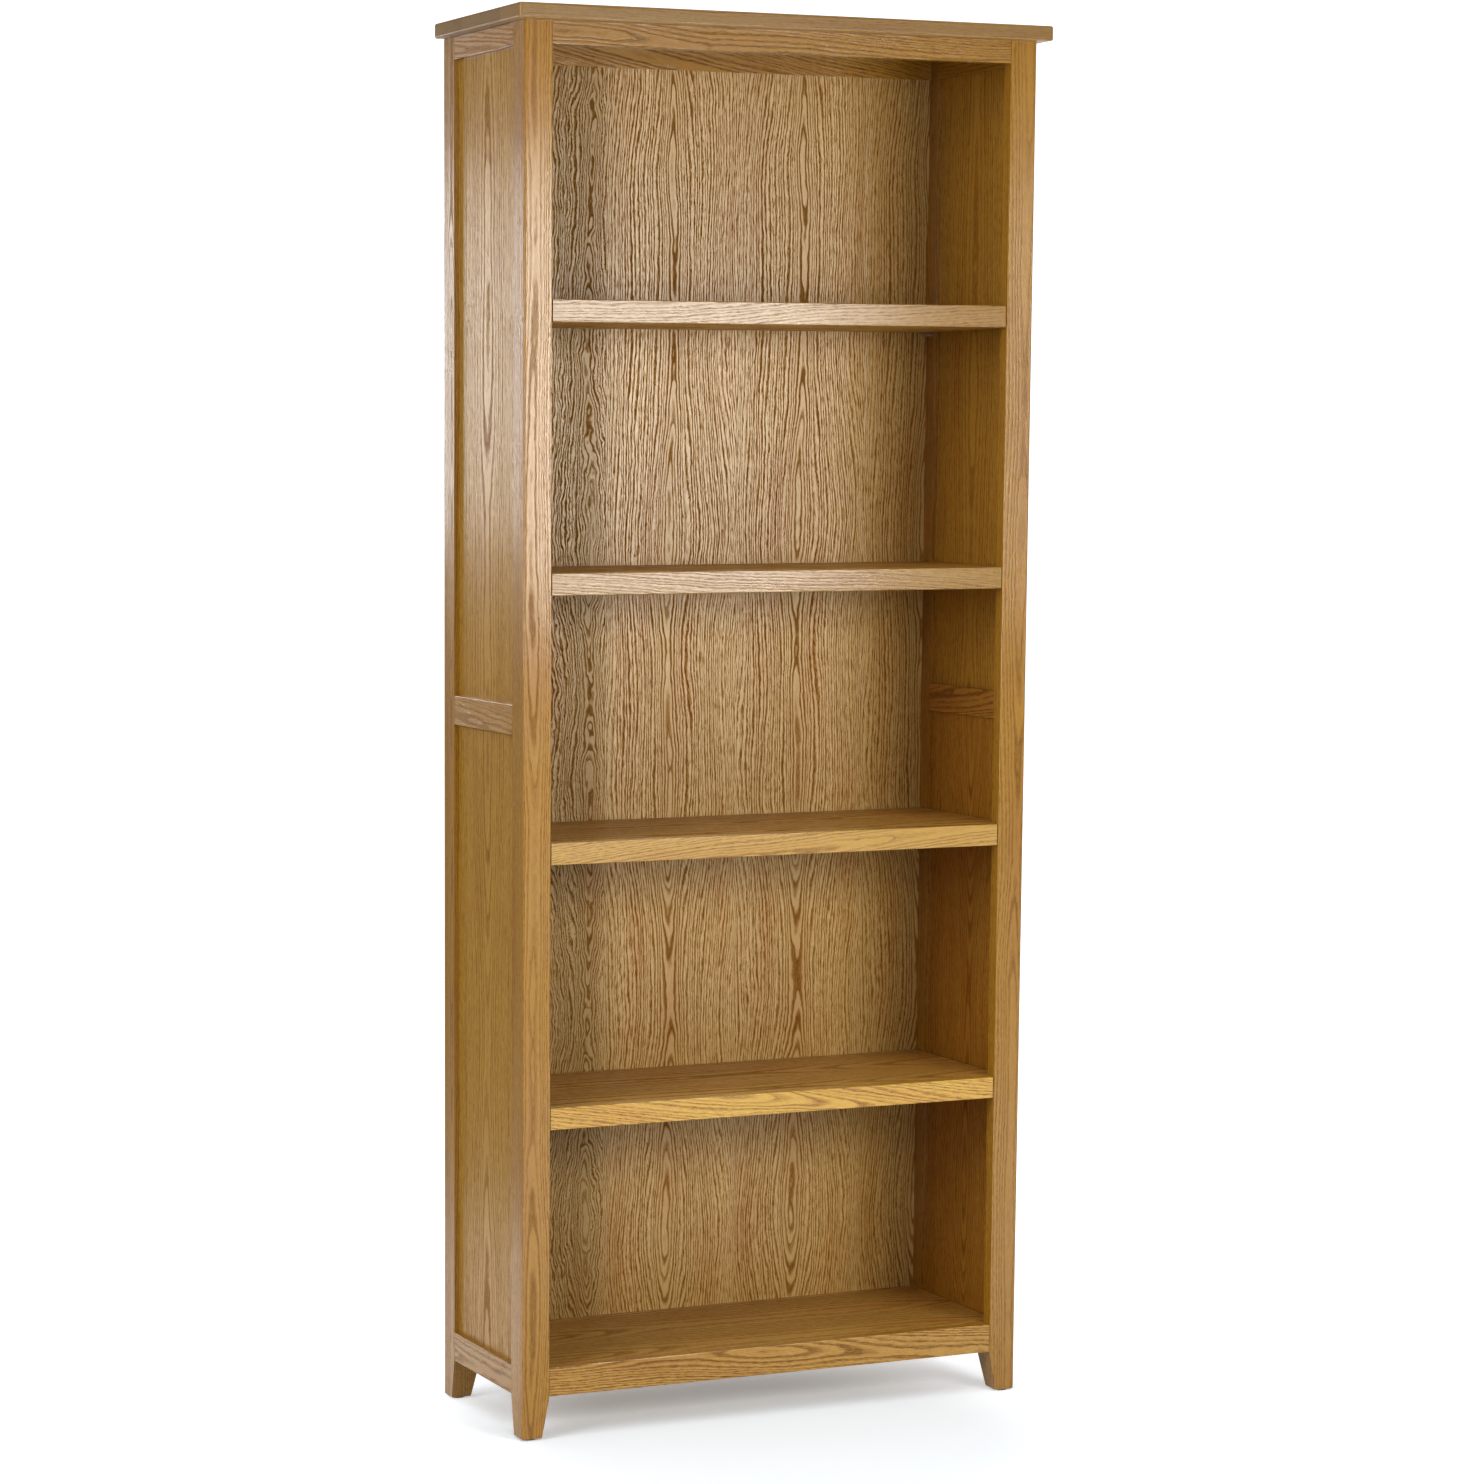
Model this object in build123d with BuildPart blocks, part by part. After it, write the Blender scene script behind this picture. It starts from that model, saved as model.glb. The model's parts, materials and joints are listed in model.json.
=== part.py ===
import os

from build123d import *

os.makedirs("parts", exist_ok=True)

# ---- Sizes, in millimetres -------------------------------------------------
# X runs left to right, Y from the front to the back, Z up from the floor.

# carcass
overall_height = 1900
frame_width = 760  # across the outer faces of the posts
frame_depth = 280  # from the posts' front faces to their back faces
side_thickness = 18  # side rails, and the posts where they are rebated

# top board
top_thickness = 20
top_side_overhang = 15
top_front_overhang = 19
top_back_setback = 3
top_corner_radius = 4
top_edge_radius = 3

# posts, which run down into the tapered legs
post_width = 40
post_depth = 38
stile_depth = 18  # depth of the full-width front part of a front post
leg_height = 58.5
foot_width = 29
foot_depth = 28
post_corner_radius = 2.5
stile_edge_radius = 1
foot_chamfer = 1.5

# rails
top_rail_height = 30
mid_rail_height = 40
mid_rail_bottom = 952.5
bottom_rail_height = 40
front_rail_setback = 1
tenon_length = 20
tenon_thickness = 8
tenon_shoulder = 5
tenon_gap = 0.5  # glue room at the end of a tenon
blind_hole_gap = 0.5  # room at the end of a pin or a stem

# side panels
side_panel_thickness = 4
side_groove_depth = 8
panel_side_clearance = 0.1
panel_end_clearance = 1

# back panel and back rails
back_panel_thickness = 6
back_panel_setback = 3  # panel face behind the back rails' front faces
back_rail_thickness = 18
back_groove_depth = 8

# bottom board and its battens
bottom_board_thickness = 18
batten_size = 18
batten_end_gap = 4

# adjustable shelves
shelf_count = 4
shelf_thickness = 29.5
shelf_spacing = 357
first_shelf_underside = 423.5
shelf_end_clearance = 1
shelf_back_clearance = 4
lipping_depth = 18
lipping_setback = 1
lipping_edge_radius = 1

# shelf pins and the holes they push into
pin_radius = 2.5
pin_hole_clearance = 0.05
pin_hole_depth = 10
pin_hole_pitch = 32
pin_holes_per_shelf = 3
pin_head_radius = 3.5
pin_head_length = 9
pin_flat_height = 2.8  # the flat under the shelf, above the pin's axis and clear of its shank
pin_edge_distance = 7  # from the shelf board's front and back edges

# screws
screw_radius = 1.5
screw_clearance = 0.1
screw_head_radius = 2.9  # fits inside the back panel's groove
top_screw_bite = 13
top_screw_span = 560
batten_screw_bite = 12
board_screw_bite = 10
batten_screw_count = 3
batten_screw_spacing = 75

# foot glides
glide_thickness = 2
glide_radius = 10
glide_stem_radius = 2
glide_stem_length = 12
glide_stem_clearance = 0.1

# ---- Places worked out from the sizes --------------------------------------

front = -(frame_depth - top_front_overhang) / 2
back = front + frame_depth
left = -frame_width / 2
wall = left + side_thickness  # inner face of the left side frame
reveal = left + post_width  # inner face of the left front stile

foot_bottom = glide_thickness
post_top = overall_height - top_thickness
top_rail_bottom = post_top - top_rail_height
mid_rail_top = mid_rail_bottom + mid_rail_height
bottom_rail_top = leg_height + bottom_rail_height

front_post_back = front + post_depth
rear_post_front = back - post_depth
stile_back = front + stile_depth

back_rail_front = back - back_rail_thickness
back_panel_front = back_rail_front + back_panel_setback
side_panel_left = left + (side_thickness - side_panel_thickness) / 2

screw_head_height = screw_head_radius - screw_radius  # a 90 degree head
board_underside = bottom_rail_top - bottom_board_thickness
lipping_front = front + lipping_setback
shelf_front = lipping_front + lipping_depth
shelf_back = back_panel_front - shelf_back_clearance
pin_rows = (shelf_front + pin_edge_distance, shelf_back - pin_edge_distance)
shelf_undersides = [first_shelf_underside + i * shelf_spacing for i in range(shelf_count)]


# ---- Shared operations, used inside a part's own block ----------------------

def bar(x_span, y_span, z_span, mode=Mode.ADD):
    """A straight piece of timber, or the room for one."""
    width = x_span[1] - x_span[0]
    depth = y_span[1] - y_span[0]
    with BuildSketch(Plane.XY.offset(z_span[0])) as outline:
        with Locations((x_span[0] + width / 2, y_span[0] + depth / 2)):
            Rectangle(width, depth)
    extrude(outline.sketch, amount=z_span[1] - z_span[0], mode=mode)


def countersunk_hole(seat, depth):
    """A screw's clearance hole; the seat's Z points back out of the hole."""
    with Locations(seat):
        CounterSinkHole(
            radius=screw_radius + screw_clearance,
            counter_sink_radius=screw_head_radius + screw_clearance,
            depth=depth,
            counter_sink_angle=90,
        )


def pilot_hole(seat, depth):
    with Locations(seat):
        Hole(radius=screw_radius + screw_clearance, depth=depth)


def screw(seat, length):
    """A countersunk wood screw; its head is flush with the seat."""
    with Locations(seat):
        with Locations((0, 0, -screw_head_height)):
            Cone(
                bottom_radius=screw_radius,
                top_radius=screw_head_radius,
                height=screw_head_height,
                align=(Align.CENTER, Align.CENTER, Align.MIN),
            )
        Cylinder(screw_radius, length, align=(Align.CENTER, Align.CENTER, Align.MAX))


def save(part, name):
    part.label = name
    export_step(part, f"parts/{name}.step")


def save_pair(part, name):
    """Writes a left-hand piece and its mirror image on the right."""
    with BuildPart() as right_hand:
        mirror(part, about=Plane.YZ)
    save(part, f"{name}_left")
    save(right_hand.part, f"{name}_right")


# ---- Where the screws go ----------------------------------------------------

front_screw_y = front + (front_rail_setback + stile_depth) / 2
# the back rail's screws start in the panel's groove, where the panel hides their heads
back_screw_y = back_panel_front + back_panel_thickness / 2
back_screw_seat = top_rail_bottom + back_groove_depth

front_top_screws = [Plane((x, front_screw_y, top_rail_bottom), z_dir=(0, 0, -1))
                    for x in (-top_screw_span / 2, 0, top_screw_span / 2)]
back_top_screws = [Plane((x, back_screw_y, back_screw_seat), z_dir=(0, 0, -1))
                   for x in (-top_screw_span / 2, 0, top_screw_span / 2)]
batten_screw_rows = [(front + back) / 2 + (i - (batten_screw_count - 1) / 2) * batten_screw_spacing
                     for i in range(batten_screw_count)]
batten_height = board_underside - batten_size / 2
rail_screws = [Plane((wall + batten_size, y, batten_height), z_dir=(1, 0, 0))
               for y in batten_screw_rows]
board_screw_offset = batten_screw_spacing / 2
board_screws = [Plane((wall + batten_size / 2, y, board_underside - batten_size), z_dir=(0, 0, -1))
                for y in (batten_screw_rows[0] + board_screw_offset,
                          batten_screw_rows[-1] - board_screw_offset)]
glide_places = [(left + foot_width / 2, front + foot_depth / 2),
                (left + foot_width / 2, back - foot_depth / 2)]


# ---- Posts -------------------------------------------------------------------

def cut_leg_taper(foot_y, shoulder_y, y_span):
    """Takes the two inner faces of a leg in, from the rails down to the foot."""
    with BuildSketch(Plane.XZ.offset(-y_span[0])) as side_cut:
        Polygon(
            (left + foot_width, foot_bottom),
            (left + post_width, leg_height),
            (left + post_width, foot_bottom),
            align=None,
        )
    extrude(side_cut.sketch, amount=-(y_span[1] - y_span[0]), mode=Mode.SUBTRACT)
    with BuildSketch(Plane.YZ.offset(left)) as depth_cut:
        Polygon(
            (foot_y, foot_bottom),
            (shoulder_y, leg_height),
            (shoulder_y, foot_bottom),
            align=None,
        )
    extrude(depth_cut.sketch, amount=post_width, mode=Mode.SUBTRACT)


def cut_side_joints(face_y, inward):
    """The panel groove and the rail mortises in a post's face towards the side panels."""
    def span(depth):
        return sorted((face_y, face_y + inward * depth))

    groove_x = (side_panel_left - panel_side_clearance,
                side_panel_left + side_panel_thickness + panel_side_clearance)
    groove_z = (bottom_rail_top - side_groove_depth, top_rail_bottom + side_groove_depth)
    bar(groove_x, span(side_groove_depth), groove_z, Mode.SUBTRACT)

    mortise_x = (left + (side_thickness - tenon_thickness) / 2,
                 left + (side_thickness + tenon_thickness) / 2)
    for bottom, top in ((leg_height, bottom_rail_top),
                        (mid_rail_bottom, mid_rail_top),
                        (top_rail_bottom, post_top)):
        mortise_z = (bottom + tenon_shoulder, top - tenon_shoulder)
        bar(mortise_x, span(tenon_length), mortise_z, Mode.SUBTRACT)


def cut_pin_holes(row_y):
    """Rows of shelf-pin holes; the middle one of each group carries the shelf as built."""
    for underside in shelf_undersides:
        middle = Plane((wall, row_y, underside - pin_flat_height), x_dir=(0, 1, 0), z_dir=(1, 0, 0))
        with Locations(middle):
            with GridLocations(0, pin_hole_pitch, 1, pin_holes_per_shelf):
                Hole(radius=pin_radius + pin_hole_clearance, depth=pin_hole_depth)


def cut_glide_hole(place):
    with Locations(Plane((*place, foot_bottom), z_dir=(0, 0, -1))):
        Hole(radius=glide_stem_radius + glide_stem_clearance, depth=glide_stem_length)


with BuildPart() as front_post:
    bar((left, reveal), (front, front_post_back), (foot_bottom, post_top))
    upright_edges = front_post.edges().filter_by(Axis.Z)
    outer_edge = upright_edges.sort_by_distance((left, front, foot_bottom))[0]
    stile_edge = upright_edges.sort_by_distance((reveal, front, foot_bottom))[0]
    fillet(stile_edge, stile_edge_radius)
    fillet(outer_edge, post_corner_radius)
    cut_leg_taper(front + foot_depth, front_post_back, (front, front_post_back))
    chamfer(front_post.faces().sort_by(Axis.Z)[0].edges(), foot_chamfer)
    bar((wall, reveal), (stile_back, front_post_back), (leg_height, post_top), Mode.SUBTRACT)
    cut_side_joints(front_post_back, -1)
    tenon_y = (stile_back - (stile_depth + tenon_thickness) / 2,
               stile_back - (stile_depth - tenon_thickness) / 2)
    for bottom, top in ((leg_height, bottom_rail_top), (top_rail_bottom, post_top)):
        bar((reveal - tenon_length, reveal), tenon_y,
            (bottom + tenon_shoulder, top - tenon_shoulder), Mode.SUBTRACT)
    cut_pin_holes(pin_rows[0])
    cut_glide_hole(glide_places[0])
save_pair(front_post.part, "front_post")

with BuildPart() as rear_post:
    bar((left, reveal), (rear_post_front, back), (foot_bottom, post_top))
    upright_edges = rear_post.edges().filter_by(Axis.Z)
    fillet(upright_edges.sort_by_distance((left, back, foot_bottom))[0], post_corner_radius)
    cut_leg_taper(back - foot_depth, rear_post_front, (rear_post_front, back))
    chamfer(rear_post.faces().sort_by(Axis.Z)[0].edges(), foot_chamfer)
    bar((wall, reveal), (rear_post_front, back), (leg_height, post_top), Mode.SUBTRACT)
    cut_side_joints(rear_post_front, 1)
    bar((wall - back_groove_depth, wall),
        (back_panel_front - panel_side_clearance,
         back_panel_front + back_panel_thickness + panel_side_clearance),
        (leg_height, post_top), Mode.SUBTRACT)
    cut_pin_holes(pin_rows[1])
    cut_glide_hole(glide_places[1])
save_pair(rear_post.part, "rear_post")


# ---- Side rails and side panels -----------------------------------------------

def side_rail(bottom, height, groove_above, groove_below):
    """A left side rail with a tenon at each end and grooves for the panels."""
    tenon_x = (left + (side_thickness - tenon_thickness) / 2,
               left + (side_thickness + tenon_thickness) / 2)
    reach = tenon_length - tenon_gap
    groove_x = (side_panel_left - panel_side_clearance,
                side_panel_left + side_panel_thickness + panel_side_clearance)
    rail_y = (front_post_back - reach, rear_post_front + reach)
    with BuildPart() as rail:
        bar((left, wall), (front_post_back, rear_post_front), (bottom, bottom + height))
        bar(tenon_x, rail_y, (bottom + tenon_shoulder, bottom + height - tenon_shoulder))
        if groove_above:
            groove_z = (bottom + height - side_groove_depth, bottom + height)
            bar(groove_x, rail_y, groove_z, Mode.SUBTRACT)
        if groove_below:
            groove_z = (bottom, bottom + side_groove_depth)
            bar(groove_x, rail_y, groove_z, Mode.SUBTRACT)
        if bottom == leg_height:
            for seat in rail_screws:
                pilot_hole(seat.offset(-batten_size), batten_screw_bite + screw_clearance)
    return rail.part


save_pair(side_rail(top_rail_bottom, top_rail_height, False, True), "side_top_rail")
save_pair(side_rail(mid_rail_bottom, mid_rail_height, True, True), "side_mid_rail")
save_pair(side_rail(leg_height, bottom_rail_height, True, False), "side_bottom_rail")


def side_panel(opening_bottom, opening_top):
    """A thin panel whose edges sit in the grooves round an opening."""
    tongue = side_groove_depth - panel_end_clearance
    with BuildPart() as panel:
        bar((side_panel_left, side_panel_left + side_panel_thickness),
            (front_post_back - tongue, rear_post_front + tongue),
            (opening_bottom - tongue, opening_top + tongue))
    return panel.part


save_pair(side_panel(mid_rail_top, top_rail_bottom), "side_upper_panel")
save_pair(side_panel(bottom_rail_top, mid_rail_bottom), "side_lower_panel")


# ---- Front rails ----------------------------------------------------------------

def front_rail(bottom, height):
    """A rail between the front stiles, with a tenon at each end."""
    with BuildPart() as rail:
        bar((reveal, -reveal), (front + front_rail_setback, stile_back), (bottom, bottom + height))
        reach = tenon_length - tenon_gap
        bar((reveal - reach, -reveal + reach), tenon_y,
            (bottom + tenon_shoulder, bottom + height - tenon_shoulder))
    return rail.part


with BuildPart() as front_top_rail:
    add(front_rail(top_rail_bottom, top_rail_height))
    for seat in front_top_screws:
        countersunk_hole(seat, top_rail_height)
save(front_top_rail.part, "front_top_rail")

save(front_rail(leg_height, bottom_rail_height), "front_bottom_rail")


# ---- Back rails and back panel ----------------------------------------------------

def back_rail(bottom, height, panel_groove_bottom):
    """A rail between the rear posts; its stub tenons sit in the back panel's grooves."""
    tongue = back_groove_depth - tenon_gap
    with BuildPart() as rail:
        bar((wall, -wall), (back_rail_front, back), (bottom, bottom + height))
        bar((wall - tongue, -wall + tongue),
            (back_panel_front, back_panel_front + back_panel_thickness),
            (bottom, bottom + height))
        bar((wall - tongue, -wall + tongue),
            (back_panel_front - panel_side_clearance,
             back_panel_front + back_panel_thickness + panel_side_clearance),
            (panel_groove_bottom, panel_groove_bottom + back_groove_depth), Mode.SUBTRACT)
    return rail.part


with BuildPart() as back_top_rail:
    add(back_rail(top_rail_bottom, top_rail_height, top_rail_bottom))
    for seat in back_top_screws:
        countersunk_hole(seat, post_top - back_screw_seat)
save(back_top_rail.part, "back_top_rail")

save(back_rail(leg_height, bottom_rail_height, bottom_rail_top - back_groove_depth),
     "back_bottom_rail")

with BuildPart() as back_panel:
    back_tongue = back_groove_depth - panel_end_clearance
    bar((wall - back_tongue, -wall + back_tongue),
        (back_panel_front, back_panel_front + back_panel_thickness),
        (bottom_rail_top - back_tongue, top_rail_bottom + back_tongue))
save(back_panel.part, "back_panel")


# ---- Top board -----------------------------------------------------------------------

with BuildPart() as top_board:
    bar((left - top_side_overhang, -left + top_side_overhang),
        (front - top_front_overhang, back - top_back_setback), (post_top, overall_height))
    fillet(top_board.edges().filter_by(Axis.Z), top_corner_radius)
    flat_faces = top_board.faces().filter_by(Axis.Z)
    fillet(flat_faces.edges(), top_edge_radius)
    for seat in front_top_screws + back_top_screws:
        pilot_hole(seat.offset(seat.origin.Z - post_top), top_screw_bite + screw_clearance)
save(top_board.part, "top_board")

with BuildPart() as top_board_screws:
    for seat in front_top_screws + back_top_screws:
        screw(seat, post_top - seat.origin.Z + top_screw_bite)
save(top_board_screws.part, "top_board_screws")


# ---- Bottom board, its battens and their screws -----------------------------------------

with BuildPart() as bottom_board:
    bar((wall, -wall), (stile_back, back_rail_front), (board_underside, bottom_rail_top))
    for seat in board_screws:
        pilot_hole(seat.offset(-batten_size), board_screw_bite + screw_clearance)
    with Locations(*[Plane((-seat.origin.X, seat.origin.Y, board_underside), z_dir=(0, 0, -1))
                     for seat in board_screws]):
        Hole(radius=screw_radius + screw_clearance, depth=board_screw_bite + screw_clearance)
save(bottom_board.part, "bottom_board")

with BuildPart() as bottom_batten:
    bar((wall, wall + batten_size),
        (front_post_back + batten_end_gap, rear_post_front - batten_end_gap),
        (board_underside - batten_size, board_underside))
    for seat in rail_screws + board_screws:
        countersunk_hole(seat, batten_size)
save_pair(bottom_batten.part, "bottom_batten")

with BuildPart() as bottom_batten_screws:
    for seat in rail_screws:
        screw(seat, batten_size + batten_screw_bite)
    mirror(about=Plane.YZ)
save(bottom_batten_screws.part, "bottom_batten_screws")

with BuildPart() as bottom_board_screws:
    for seat in board_screws:
        screw(seat, batten_size + board_screw_bite)
    mirror(about=Plane.YZ)
save(bottom_board_screws.part, "bottom_board_screws")


# ---- Foot glides ---------------------------------------------------------------------------

with BuildPart() as foot_glides:
    with BuildSketch():
        with Locations(*glide_places):
            Circle(glide_radius)
    extrude(amount=glide_thickness)
    with BuildSketch(Plane.XY.offset(glide_thickness)):
        with Locations(*glide_places):
            Circle(glide_stem_radius)
    extrude(amount=glide_stem_length - blind_hole_gap)
    mirror(about=Plane.YZ)
save(foot_glides.part, "foot_glides")


# ---- Adjustable shelves and their pins --------------------------------------------------------

for number, underside in enumerate(shelf_undersides, start=1):
    top = underside + shelf_thickness

    with BuildPart() as shelf_board:
        bar((wall + shelf_end_clearance, -wall - shelf_end_clearance),
            (shelf_front, shelf_back), (underside, top))
    save(shelf_board.part, f"shelf_board_{number}")

    with BuildPart() as shelf_lipping:
        bar((reveal + shelf_end_clearance, -reveal - shelf_end_clearance),
            (lipping_front, shelf_front), (underside, top))
        fillet(shelf_lipping.faces().sort_by(Axis.Y)[0].edges().filter_by(Axis.X),
               lipping_edge_radius)
    save(shelf_lipping.part, f"shelf_lipping_{number}")

    with BuildPart() as shelf_pins:
        for row_y in pin_rows:
            seat = Plane((wall, row_y, underside - pin_flat_height),
                         x_dir=(0, 1, 0), z_dir=(1, 0, 0))
            with BuildSketch(seat):
                Circle(pin_radius)
            extrude(amount=-(pin_hole_depth - blind_hole_gap))
            with BuildSketch(seat):
                Circle(pin_head_radius)
                with Locations((0, pin_flat_height)):
                    Rectangle(2 * pin_head_radius, pin_head_radius,
                              align=(Align.CENTER, Align.MIN), mode=Mode.SUBTRACT)
            extrude(amount=pin_head_length)
    save_pair(shelf_pins.part, f"shelf_pins_{number}")
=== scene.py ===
import json
import math

import bmesh
import bpy
from mathutils import Euler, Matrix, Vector

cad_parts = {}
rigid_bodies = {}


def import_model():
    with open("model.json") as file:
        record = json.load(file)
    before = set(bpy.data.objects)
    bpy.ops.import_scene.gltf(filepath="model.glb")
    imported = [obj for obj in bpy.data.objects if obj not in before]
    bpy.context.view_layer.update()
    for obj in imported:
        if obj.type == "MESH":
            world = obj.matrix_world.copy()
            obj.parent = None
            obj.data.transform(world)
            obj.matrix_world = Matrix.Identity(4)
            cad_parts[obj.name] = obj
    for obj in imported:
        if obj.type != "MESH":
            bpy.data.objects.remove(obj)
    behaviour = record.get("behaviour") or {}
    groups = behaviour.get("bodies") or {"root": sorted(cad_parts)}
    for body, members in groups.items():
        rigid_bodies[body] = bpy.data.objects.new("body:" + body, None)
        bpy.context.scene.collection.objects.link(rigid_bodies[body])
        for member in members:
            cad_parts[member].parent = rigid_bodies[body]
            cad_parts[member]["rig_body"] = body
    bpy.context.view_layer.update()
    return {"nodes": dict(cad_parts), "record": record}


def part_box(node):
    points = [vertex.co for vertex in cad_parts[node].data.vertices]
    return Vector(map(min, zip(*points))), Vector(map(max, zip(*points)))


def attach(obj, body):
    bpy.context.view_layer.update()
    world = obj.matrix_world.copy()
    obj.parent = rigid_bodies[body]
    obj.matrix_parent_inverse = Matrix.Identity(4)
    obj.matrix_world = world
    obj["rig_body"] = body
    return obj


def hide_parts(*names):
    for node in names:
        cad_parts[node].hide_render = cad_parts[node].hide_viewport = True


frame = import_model()
nodes = frame["nodes"]
bodyOf = {name: node["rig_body"] for name, node in nodes.items()}
slotOf = {part["node"]: part["material_slot"] for part in frame["record"]["subparts"]}
print("frame loaded:", len(nodes), "nodes")


# small helpers for building node trees

def addNode(tree, kind, **settings):
    node = tree.nodes.new(kind)
    for name, value in settings.items():
        setattr(node, name, value)
    return node


def feed(tree, socket, value):
    if isinstance(value, bpy.types.NodeSocket):
        tree.links.new(value, socket)
    else:
        socket.default_value = value


def maths(tree, operation, *values, clamp=False):
    node = addNode(tree, "ShaderNodeMath", operation=operation, use_clamp=clamp)
    for socket, value in zip(node.inputs, values):
        feed(tree, socket, value)
    return node.outputs[0]


def vectorMaths(tree, operation, *values):
    node = addNode(tree, "ShaderNodeVectorMath", operation=operation)
    sockets = [s for s in node.inputs if s.enabled]
    for socket, value in zip(sockets, values):
        feed(tree, socket, value)
    return node.outputs["Value"] if operation == "LENGTH" else node.outputs["Vector"]


def combine(tree, x, y, z):
    node = addNode(tree, "ShaderNodeCombineXYZ")
    for socket, value in zip(node.inputs, (x, y, z)):
        feed(tree, socket, value)
    return node.outputs[0]


def separate(tree, vector):
    node = addNode(tree, "ShaderNodeSeparateXYZ")
    feed(tree, node.inputs[0], vector)
    return node.outputs[0], node.outputs[1], node.outputs[2]


def noise(tree, vector, detail=1.0, roughness=0.5):
    # scale stays at 1: the vector already carries it
    node = addNode(tree, "ShaderNodeTexNoise", noise_dimensions="3D")
    feed(tree, node.inputs["Vector"], vector)
    node.inputs["Scale"].default_value = 1.0
    node.inputs["Detail"].default_value = detail
    node.inputs["Roughness"].default_value = roughness
    return node


def randomFor(tree, number):
    node = addNode(tree, "ShaderNodeTexWhiteNoise", noise_dimensions="1D")
    feed(tree, node.inputs["W"], number)
    return node


def ease(tree, value, low, high, start=0.0, end=1.0):
    node = addNode(tree, "ShaderNodeMapRange", interpolation_type="SMOOTHSTEP")
    for name, number in (("Value", value), ("From Min", low), ("From Max", high),
                         ("To Min", start), ("To Max", end)):
        feed(tree, node.inputs[name], number)
    return node.outputs["Result"]


def mixColor(tree, factor, first, second, blend="MIX"):
    node = addNode(tree, "ShaderNodeMix", data_type="RGBA", blend_type=blend)
    feed(tree, node.inputs["Factor"], factor)
    colors = [s for s in node.inputs if s.type == "RGBA"]
    feed(tree, colors[0], first)
    feed(tree, colors[1], second)
    return [s for s in node.outputs if s.type == "RGBA"][0]


# the oak itself: growth rings round a pith, pores that follow them, and veneer leaves or staves
# every length inside is in millimetres; across, depth and along are a board's own directions

millimetre = 0.001
grainInputs = (
    ("Place", "NodeSocketVector"), ("Seed", "NodeSocketVector"), ("Pith", "NodeSocketVector"),
    ("End", "NodeSocketFloat"), ("RingPitch", "NodeSocketFloat"), ("Figure", "NodeSocketFloat"),
    ("Wander", "NodeSocketFloat"), ("Curl", "NodeSocketFloat"), ("LeafWidth", "NodeSocketFloat"),
    ("LeafStart", "NodeSocketFloat"), ("LeafSlip", "NodeSocketFloat"), ("LeafTone", "NodeSocketFloat"),
    ("WildLeaf", "NodeSocketFloat"), ("EdgePale", "NodeSocketFloat"), ("Contrast", "NodeSocketFloat"),
    ("Pores", "NodeSocketFloat"), ("Fibres", "NodeSocketFloat"), ("Patches", "NodeSocketFloat"),
    ("Tone", "NodeSocketFloat"), ("Pale", "NodeSocketColor"), ("Deep", "NodeSocketColor"),
    ("Warm", "NodeSocketColor"),
)

# how quickly the tree's own unevenness changes across, through and along a board, per millimetre
bends = {
    "slow": (0.011, 0.011, 0.0035), "quick": (0.055, 0.055, 0.028), "taper": (0.0008, 0.0008, 0.0016),
    "clouds": (0.022, 0.022, 0.0035), "years": 0.07, "yearSpread": 3.0, "wanderDepth": 0.45,
}
# pores and fibres run with the rings: how quickly they change outwards, round and along
pores = {
    "round": 60.0, "along": 0.07, "streaks": (0.9, 0.9, 0.9), "vessels": (2.7, 2.7, 2.4),
    "fibres": (0.5, 0.5, 1.6),
}
# how much each of them darkens the wood
darkens = {"ring": 0.55, "streakInRing": 0.5, "streak": 0.35, "vessel": 0.45, "seam": 0.3, "endGrain": 0.3}
# where each of them starts and is at its full strength, in what its noise or its place gives
steps = {
    "ringFades": (0.08, 0.55), "ringRises": (0.80, 1.0), "streak": (0.44, 0.66), "vessel": (0.56, 0.66),
    "clouds": (0.42, 0.78), "leafEdge": (0.45, 0.49), "wildFades": (0.30, 0.70), "dullPores": (0.05, 0.7),
}
weakestRing = 0.4  # how strong the faintest ring is beside the strongest
vesselsOutside = 0.25  # share of the pores' strength that is left between the rings
# how far each of them stands up from the surface, or lies below it
relief = {"fibre": 0.03, "vessel": 0.06, "ring": 0.05, "seam": 0.1}
seamWidth = 0.9  # millimetres of dark glue line at the edge of a leaf
leafDepthSlip = 0.012  # share of a leaf's slip along the log that it also has through it
halfWay = (0.5, 0.5, 0.5)  # the middle of what noise gives

leafDraw = 0.37  # which random numbers the leaves draw
sameLeaf = 0.1  # leaves are counted in whole numbers, so a tenth of one is the same leaf
# one leaf of the back is curlier and darker than the rest, with its arches off to one side
wildLeaf = {"curl": 3.0, "figure": 1.6, "shift": -80.0, "darker": 0.34, "duller": 0.35}


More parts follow.
